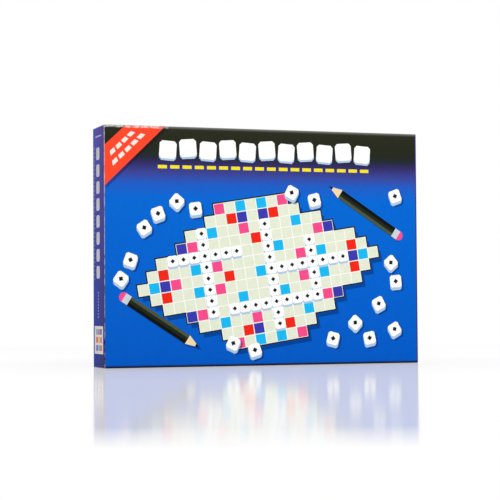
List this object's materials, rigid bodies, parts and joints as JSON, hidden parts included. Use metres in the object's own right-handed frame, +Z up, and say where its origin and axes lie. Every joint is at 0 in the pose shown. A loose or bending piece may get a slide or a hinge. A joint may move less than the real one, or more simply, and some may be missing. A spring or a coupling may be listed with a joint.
{
  "type": "word board game",
  "caption": "Boxed word board game: a wrapped chipboard case with a lift-off lid, a formed insert, a folding board, tile racks, letter tiles and a rules booklet.",
  "frame": {"origin": "on the ground, under the middle of the closed case as it stands on its long edge", "axes": "+X along the cover's width, +Z up, the printed cover faces -Y and the case's back faces +Y"},
  "size_m": [0.38, 0.052, 0.27],
  "materials": {
    "greyboard": "bare grey chipboard",
    "printed_paper": "printed and satin-laminated",
    "blue_paper": "plain printed, satin-laminated",
    "kraft_stay": "gummed kraft paper",
    "blue_plastic": "vacuum-formed, satin",
    "board_print": "printed, matt varnish",
    "black_paper": "embossed black paper",
    "black_linen": "woven book linen",
    "white_paper": "uncoated",
    "staple_wire": "bright drawn wire",
    "black_plastic": "fine-textured moulding",
    "ivory_plastic": "satin moulding"
  },
  "bodies": {
    "base": {"base_panel": "greyboard", "base_walls": "greyboard", "base_back_wrap": "blue_paper", "base_side_wraps": "blue_paper", "base_corner_stays": "kraft_stay", "insert_skirt": "blue_plastic", "insert_tile_well": "blue_plastic", "insert_flange": "blue_plastic", "insert_rack_floors": "blue_plastic", "insert_lands": "blue_plastic"},
    "lid": {"lid_panel": "greyboard", "lid_walls": "greyboard", "lid_cover_wrap": "printed_paper", "lid_side_wraps": "printed_paper", "lid_corner_stays": "kraft_stay"},
    "board_rear": {"rear_leaf_core": "greyboard", "rear_leaf_face": "board_print", "rear_leaf_backing": "black_paper", "fold_crease": "black_linen"},
    "board_front": {"front_leaf_core": "greyboard", "front_leaf_face": "board_print", "front_leaf_backing": "black_paper"},
    "rules": {"rules_cover": "white_paper", "rules_pages": "white_paper", "rules_staples": "staple_wire"},
    "tiles": {"tile_row_01": "ivory_plastic", "tile_row_02": "ivory_plastic", "tile_row_03": "ivory_plastic", "tile_row_04": "ivory_plastic", "tile_row_05": "ivory_plastic", "tile_row_06": "ivory_plastic", "tile_row_07": "ivory_plastic", "tile_row_08": "ivory_plastic", "tile_row_09": "ivory_plastic", "tile_row_10": "ivory_plastic"},
    "rack_1": {"rack_1": "black_plastic"},
    "rack_2": {"rack_2": "black_plastic"},
    "rack_3": {"rack_3": "black_plastic"},
    "rack_4": {"rack_4": "black_plastic"}
  },
  "joints": [
    {"name": "lid_lift", "type": "slide", "parent": "base", "child": "lid", "axis": [0, -1, 0], "range_m": [0, 0.65]},
    {"name": "board_lift", "type": "slide", "parent": "base", "child": "board_rear", "axis": [0, -1, 0], "range_m": [0, 0.143]},
    {"name": "board_fold", "type": "hinge", "parent": "board_rear", "child": "board_front", "pos_m": [0, -0.02095, 0.2125], "axis": [-1, 0, 0], "range_deg": [0, 180]},
    {"name": "rules_lift", "type": "slide", "parent": "base", "child": "rules", "axis": [0, -1, 0], "range_m": [0, 0.104]},
    {"name": "rack_1_lift", "type": "slide", "parent": "base", "child": "rack_1", "axis": [0, -1, 0], "range_m": [0, 0.065]},
    {"name": "rack_2_lift", "type": "slide", "parent": "base", "child": "rack_2", "axis": [0, -1, 0], "range_m": [0, 0.065]},
    {"name": "rack_3_lift", "type": "slide", "parent": "base", "child": "rack_3", "axis": [0, -1, 0], "range_m": [0, 0.065]},
    {"name": "rack_4_lift", "type": "slide", "parent": "base", "child": "rack_4", "axis": [0, -1, 0], "range_m": [0, 0.065]},
    {"name": "tiles_lift", "type": "slide", "parent": "base", "child": "tiles", "axis": [0, -1, 0], "range_m": [0, 0.0455]}
  ],
  "couplings": [
    {"joint": "board_lift", "follows": "lid_lift", "ratio": 0.22},
    {"joint": "board_fold", "follows": "lid_lift", "rad_per_m": 4.8332},
    {"joint": "rules_lift", "follows": "lid_lift", "ratio": 0.16},
    {"joint": "rack_1_lift", "follows": "lid_lift", "ratio": 0.1},
    {"joint": "rack_2_lift", "follows": "lid_lift", "ratio": 0.1},
    {"joint": "rack_3_lift", "follows": "lid_lift", "ratio": 0.1},
    {"joint": "rack_4_lift", "follows": "lid_lift", "ratio": 0.1},
    {"joint": "tiles_lift", "follows": "lid_lift", "ratio": 0.07}
  ]
}
